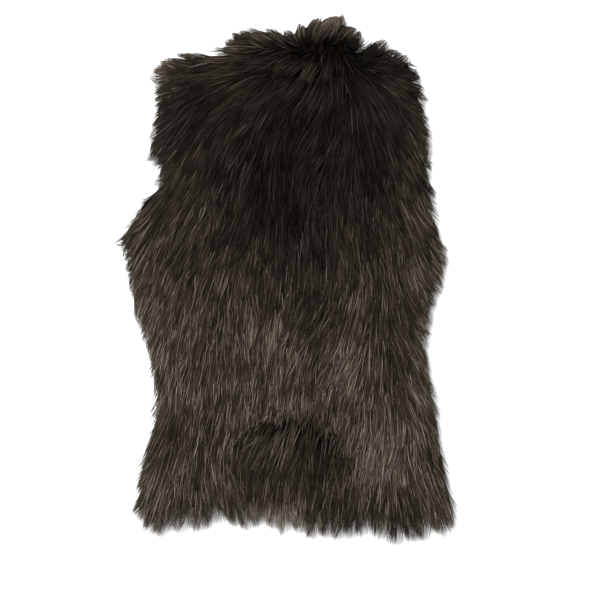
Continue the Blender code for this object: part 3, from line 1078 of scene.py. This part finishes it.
@dataclass(frozen=True)
class Pile:
    """One pile of strands: how dense, how fine and how unruly it is."""

    name: str
    density: float
    width: float
    lock: float
    segments: int
    seed: int
    bands: int = 1
    length: float = 1.0
    gather: float = 0.72
    turn: float = 0.20
    sway: float = 0.11
    # How much the strands are lightened as painted glints
    light: float = 0.0

    def grow(self, tree: PileTree, scalp: Scalp, fur: bpy.types.Material) -> list[bpy.types.Object]:
        """Grows the pile, a piece for each band of rows.

        Args:
            tree: The Geometry Nodes that lay it.
            scalp: What it grows from.
            fur: Its material.

        Returns:
            Plain meshes of strands.
        """
        edges = np.linspace(0, len(scalp.x) - 1, self.bands + 1).astype(int)
        pieces = []
        for band in range(self.bands):
            name = self.name if self.bands == 1 else f"{self.name}_{band + 1}"
            ground = scalp.part(name, slice(edges[band], edges[band + 1] + 1))
            pieces.append(self.lay(tree, ground, fur, self.seed + band))
        return pieces

    def lay(
        self, tree: PileTree, ground: bpy.types.Object, fur: bpy.types.Material, seed: int
    ) -> bpy.types.Object:
        """Lays strands on an open mesh, which they replace.

        Args:
            tree: The Geometry Nodes that lay them.
            ground: Open mesh with the scalp's attributes.
            fur: Their material.
            seed: Seed of their chance numbers.

        Returns:
            A plain mesh of strands.
        """
        values = {
            "Density": self.density,
            "Lock spacing": self.lock,
            "Strand width": self.width,
            "Length": self.length,
            "Gather": self.gather,
            "Turn": self.turn,
            "Sway": self.sway,
            "Light": self.light,
            "Lowest": FLOOR_CLEARANCE,
            "Segments": self.segments,
            "Seed": seed,
            "Fur": fur,
        }
        layer = ground.modifiers.new("pile", "NODES")
        layer.node_group = tree.tree
        for label, identifier in tree.identifiers().items():
            if label in values:
                layer[identifier] = values[label]
        graph = bpy.context.evaluated_depsgraph_get()
        data = bpy.data.meshes.new_from_object(ground.evaluated_get(graph), depsgraph=graph)
        name = ground.name
        bpy.data.objects.remove(ground)
        for spent in [a.name for a in data.attributes if a.name not in KEPT_ATTRIBUTES and not a.is_required]:
            old = data.attributes.get(spent)
            if old is not None and not old.is_internal:
                data.attributes.remove(old)
        data.name = name
        return placed(name, data)


def guard_hairs(name: str, seed: int, length: float) -> Pile:
    """Fine hairs that stand over a pile and hardly gather, lightened as painted glints."""
    sizes = {"density": 20000, "width": 0.0005, "lock": 0.02, "segments": 3}
    return Pile(name, **sizes, seed=seed, length=length, gather=0.1, turn=0.5, light=0.34)


@dataclass
class Look:
    """What every piece of the vest is dressed with."""

    tree: PileTree
    fur: bpy.types.Material
    ground: bpy.types.Material


@dataclass
class Panel:
    """One sewn piece: its cloth and its pile."""

    node: str
    slot: str
    look: Look
    strand: float = 0.046
    edge: float = 0.004
    pieces: list[bpy.types.Object] = field(default_factory=list)

    def dress(self, cloth: bpy.types.Object, scalp: Scalp, *piles: Pile) -> None:
        """Finishes the cloth and grows its piles, which are then this panel's pieces.

        Args:
            cloth: The closed cloth.
            scalp: What the piles grow from.
            *piles: The piles.
        """
        cloth.data.materials.append(self.look.ground)
        grown = (pile.grow(self.look.tree, scalp, self.look.fur) for pile in piles)
        self.pieces = [piece for pieces in grown for piece in pieces]
        for piece in (cloth, *self.pieces):
            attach(piece, "root")
            log.info("%s: %d triangles", piece.name, sum(len(p.vertices) - 2 for p in piece.data.polygons))

    def pressed(self, probe: Probe, x: np.ndarray, y: np.ndarray, comb: np.ndarray, under: float) -> Scalp:
        """Scalp of a pile that is pressed between a cloth and the floor.

        Args:
            probe: Feels the piece's solid.
            x: The plan.
            y: The plan.
            comb: The comb's directions.
            under: Height of the cloth's lower surface.

        Returns:
            The scalp.
        """
        flat = np.ones_like(x)
        reach = probe.within(x, y, comb, self.strand, PRESSED_OVER)
        loose = loose_at(reach, self.strand)
        # Tone of the pressed pile, darkened with painted shade
        root, tone = flat * (under + ROOT_DEPTH), tone_at(x, y) * PRESSED_PAINTED_SHADE
        scalp = Scalp(x, y, root, comb, reach, tone, flat, loose)
        scalp.drop = flat * (PRESSED_TIP - under)
        scalp.arch = flat * -PRESSED_SAG
        return scalp


@dataclass
class BackPanel(Panel):
    """The back: cloth with the large folds, and the long pile that shows in the photo."""

    columns: int = 61
    rows: int = 91
    level: float = 0.002
    thin: float = 0.003
    ground: float = 0.0026
    thickness: float = 0.002
    gap: float = 0.0004
    fold_start: float = 0.006
    fold_share: float = 0.22
    margins: Margins = Margins(0.005, 0.005, 0.034, 0.0015)
    strand: float = 0.064
    fade: float = 0.03
    fan: float = 0.42
    fan_depth: float = 0.018
    waist_fan: float = 0.3
    armhole: float = 0.06
    shoulder: float = 0.08
    shoulder_fan: float = 0.8
    over: float = 0.009
    armhole_over: float = 0.004
    hem_over: float = 0.007
    hem_density: float = 0.4
    corner_density: float = 0.8
    right_corner: float = 2.0
    sleek_start: float = -0.07
    sleek: float = 0.7

    def build(self) -> None:
        """Builds the cloth and its piles."""
        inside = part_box(self.node)[0].z
        probe = Probe((self.node,), inside + self.level)
        x, y = PanelPlan(probe, self.margins).grid(self.columns, self.rows)
        felt = probe.height(x, y, inside + self.thin)
        top = inside + self.ground + self.fold_share * np.maximum(felt - inside - self.fold_start, 0)
        under = np.maximum(top - self.thickness, inside + self.gap)
        cloth = closed_cloth("back_cloth", x, y, top, under)
        fine = {"density": 155000, "width": 0.00098, "lock": 0.0110, "segments": 3}
        short = {"density": 50000, "width": 0.00125, "lock": 0.0085, "segments": 2}
        pile = Pile("back_pile", **fine, seed=11, bands=4, gather=0.62, turn=0.17)
        underfur = Pile("back_underfur", **short, seed=31, bands=2, gather=0.55, turn=0.4)
        hairs = guard_hairs("back_guard_hairs", 51, 1.12)
        self.dress(cloth, self.scalp(x, y, top, inside), pile, underfur, hairs)
        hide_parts(self.node)

    def scalp(self, x: np.ndarray, y: np.ndarray, top: np.ndarray, inside: float) -> Scalp:
        """Scalp of the pile, which fans out at the sides and shoulders and thickens to the hem.

        Args:
            x: The plan.
            y: The plan.
            top: Heights of the cloth.
            inside: Height of the solid's underside.

        Returns:
            The scalp.
        """
        cover = Probe((self.node, "collar"))
        to_side, to_top = np.minimum(x - x[:, :1], x[:, -1:] - x), y[-1:] - y
        side, low, high = (np.exp(-away / self.fade) for away in (to_side, y - y[:1], to_top))
        armhole = np.clip(y / self.armhole, 0.0, 1.0)
        outward = np.sign(x - (x[:, :1] + x[:, -1:]) / 2) * np.exp(-to_side / self.fan_depth)
        lift = np.where(np.abs(x) > self.shoulder, self.shoulder_fan, 0.0)
        upward = np.exp(-to_top / self.fan_depth) * lift
        fan = self.fan * (self.waist_fan + (1 - self.waist_fan) * armhole)
        comb = fanned(comb_at(x, y, BACK_COMB), fan * outward, self.fan * upward)
        over = self.over + self.hem_over * low * (1 + side * np.where(x > 0, self.right_corner, 1.0))
        over -= self.armhole_over * armhole * (1 - high)
        free = cover.within(x, y, comb, self.strand, over)
        density = 1 + self.hem_density * low + self.corner_density * low * side
        sleek = np.where(x < self.sleek_start, self.sleek * high, 0.0)
        sleek = np.maximum(sleek, (1 - armhole) * (1 - low) * side)
        loose = loose_at(free, self.strand) * (1 - sleek)
        scalp = Scalp(x, y, top, comb, ARCH.limit(x, y, comb, free), tone_at(x, y), density, loose)
        cover.fall(scalp, self.edge, inside + self.edge)
        return scalp


@dataclass
class FrontPanel(Panel):
    """A front beneath the back: its pile faces the surface that the vest lies on."""

    side: int = -1
    seed: int = 101
    columns: int = 31
    rows: int = 61
    level: float = 0.006
    top: float = 0.0118
    under: float = 0.0096
    outer: float = 0.009
    inner: float = 0.0012
    hem: float = 0.034
    neck: float = 0.003
    near: float = 0.98
    hidden_density: float = 0.35

    def build(self) -> None:
        """Builds the cloth and its pile."""
        probe = Probe((self.node,), self.level)
        sides = (self.outer, self.inner) if self.side < 0 else (self.inner, self.outer)
        plan = PanelPlan(probe, Margins(*sides, self.hem, self.neck), inner=-self.side)
        x, y = plan.grid(self.columns, self.rows)
        flat = np.ones_like(x)
        cloth = closed_cloth(f"{self.node}_cloth", x, y, flat * self.top, flat * self.under)
        scalp = self.pressed(probe, x, y, comb_at(x, y, FRONT_COMB), self.under)
        scalp.density = np.where(scalp.reach < self.strand * self.near, 1.0, self.hidden_density)
        coarse = {"density": 60000, "width": 0.0013, "lock": 0.0095, "segments": 2}
        pile = Pile(f"{self.node}_pile", **coarse, seed=self.seed, gather=0.65, turn=0.34)
        self.dress(cloth, scalp, pile)
        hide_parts(self.node)


@dataclass
class Collar(Panel):
    """The band collar: its back half stands past the neck, its front half lies beneath."""

    columns: int = 45
    rows: int = 13
    strand: float = 0.040
    back_level: float = 0.0085
    back_hem_level: float = 0.020
    back_margins: Margins = Margins(0.004, 0.001, 0.0006, 0.0030)
    thin: float = 0.012
    ground: float = 0.0150
    thickness: float = 0.0022
    lowest: float = 0.0128
    fold_start: float = 0.014
    fold_share: float = 0.14
    comb_reach: float = 0.006
    fade: float = 0.012
    middle: float = 0.02
    left_fan: float = 0.45
    right_fan: float = 0.05
    over: float = 0.009
    end_over: float = 0.008
    inner: float = 0.010
    left_loose: float = 0.3
    front_level: float = 0.006
    front_margins: Margins = Margins(0.010, 0.010, 0.0006, 0.012)
    front_top: float = 0.0122
    front_under: float = 0.0098

    def build(self) -> None:
        """Builds both halves and their piles."""
        self.back_half(Probe((self.node,), self.back_level, self.back_hem_level))
        self.front_half(Probe((self.node,), self.front_level))

    def back_half(self, probe: Probe) -> None:
        """The half that shows, over the neck seam.

        Args:
            probe: Feels the collar's solid.
        """
        cover = Probe((self.node, "back_panel"))
        x, y = BandPlan(probe, self.back_margins).grid(self.columns, self.rows)
        top = self.ground + self.fold_share * np.maximum(probe.height(x, y, self.thin) - self.fold_start, 0)
        cloth = closed_cloth("collar_back_cloth", x, y, top, np.maximum(top - self.thickness, self.lowest))
        upward = np.exp(-(y[-1:] - y) / self.fade) * np.where(x < self.middle, self.left_fan, self.right_fan)
        comb = fanned(comb_at(x, y, COLLAR_COMB, self.comb_reach), 0 * upward, upward)
        over = self.over + self.end_over * np.exp((x - x.max()) / self.fade)
        reach = cover.within(x, y, comb, self.strand, over)
        loose = loose_at(reach, self.strand) * np.where(x < 0, self.left_loose, 1.0)
        scalp = Scalp(x, y, top, comb, reach, tone_at(x, y), np.ones_like(x), loose)
        cover.fall(scalp, self.edge, self.inner)
        fine = {"density": 270000, "width": 0.00098, "lock": 0.0095, "segments": 3}
        pile = Pile("collar_pile", **fine, seed=71, gather=0.6, turn=0.26)
        self.dress(cloth, scalp, pile, guard_hairs("collar_guard_hairs", 77, 1.15))
        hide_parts(self.node)

    def front_half(self, probe: Probe) -> None:
        """The half beneath, down to where its ends meet in the front neck.

        Args:
            probe: Feels the collar's solid.
        """
        x, y = BandPlan(probe, self.front_margins).grid(self.columns, self.rows)
        flat = np.ones_like(x)
        cloth = closed_cloth("collar_front_cloth", x, y, flat * self.front_top, flat * self.front_under)
        scalp = self.pressed(probe, x, y, comb_at(x, y, COLLAR_COMB), self.front_under)
        coarse = {"density": 70000, "width": 0.0013, "lock": 0.0085, "segments": 2}
        self.dress(cloth, scalp, Pile("collar_front_pile", **coarse, seed=81))


@dataclass
class Studio:
    """Plain pale floor, soft light and a camera straight above, as the photo was taken."""

    distance: float = 2.3
    above_vest: float = 2.28
    frame_width: float = 0.780
    centre: tuple[float, float] = (0.0173, -0.0284)
    sensor: float = 36.0
    floor_half: float = 4.0
    floor_grey: float = 0.93
    floor_roughness: float = 0.9
    surround: float = 0.80

    def build(self) -> None:
        """Builds the floor, the lights, the surround and the camera."""
        self.floor()
        self.light("key", (-0.7, 0.9, 1.9), size=0.9, power=84.0)
        self.light("fill", (1.1, -0.8, 1.9), size=1.8, power=14.0)
        self.sky()
        self.camera()

    def floor(self) -> None:
        """A wide pale floor."""
        corners = np.array([(-1, -1, 0), (1, -1, 0), (1, 1, 0), (-1, 1, 0)]) * self.floor_half
        made = mesh_object("floor", corners, [(0, 1, 2, 3)])
        paint, shader = plain_material("floor_paint", self.floor_roughness)
        shader.inputs["Base Color"].default_value = (*[self.floor_grey] * 3, 1.0)
        made.data.materials.append(paint)

    def light(self, name: str, place: tuple[float, float, float], size: float, power: float) -> None:
        """A square soft light that looks at the vest.

        Args:
            name: Its name.
            place: Where it is.
            size: Its side.
            power: Its power in watts.
        """
        data = bpy.data.lights.new(name, "AREA")
        data.shape = "SQUARE"
        data.size = size
        data.energy = power
        made = placed(name, data)
        made.location = place
        made.rotation_euler = (-Vector(place)).to_track_quat("-Z", "Y").to_euler()

    def sky(self) -> None:
        """An even white surround."""
        world = bpy.data.worlds.new("surround")
        world.use_nodes = True
        ground = world.node_tree.nodes["Background"]
        ground.inputs["Color"].default_value = (1.0, 1.0, 1.0, 1.0)
        ground.inputs["Strength"].default_value = self.surround
        bpy.context.scene.world = world
        bpy.context.scene.view_settings.view_transform = "Standard"

    def camera(self) -> None:
        """A long lens straight above, with the neck at the top of the picture."""
        data = bpy.data.cameras.new("camera")
        data.sensor_width = self.sensor
        data.lens = self.sensor * self.above_vest / self.frame_width
        made = placed("camera", data)
        made.location = (*self.centre, self.distance)
        bpy.context.scene.camera = made


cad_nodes: dict[str, bpy.types.Object] = {}


def main() -> None:
    """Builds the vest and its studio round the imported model."""
    logging.basicConfig(level=logging.INFO, format="%(message)s")
    for old in list(bpy.data.objects):
        bpy.data.objects.remove(old)
    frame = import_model()
    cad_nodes.update(frame["nodes"])
    look = Look(PileTree(), FurFinish("long_fur").make(), ClothFinish("fur_ground").make())
    Collar("collar", "collar_fur", look).build()
    FrontPanel("front_left", "front_fur", look, side=-1, seed=101).build()
    FrontPanel("front_right", "front_fur", look, side=1, seed=141).build()
    BackPanel("back_panel", "back_fur", look).build()
    Studio().build()


if __name__ == "__main__":
    main()
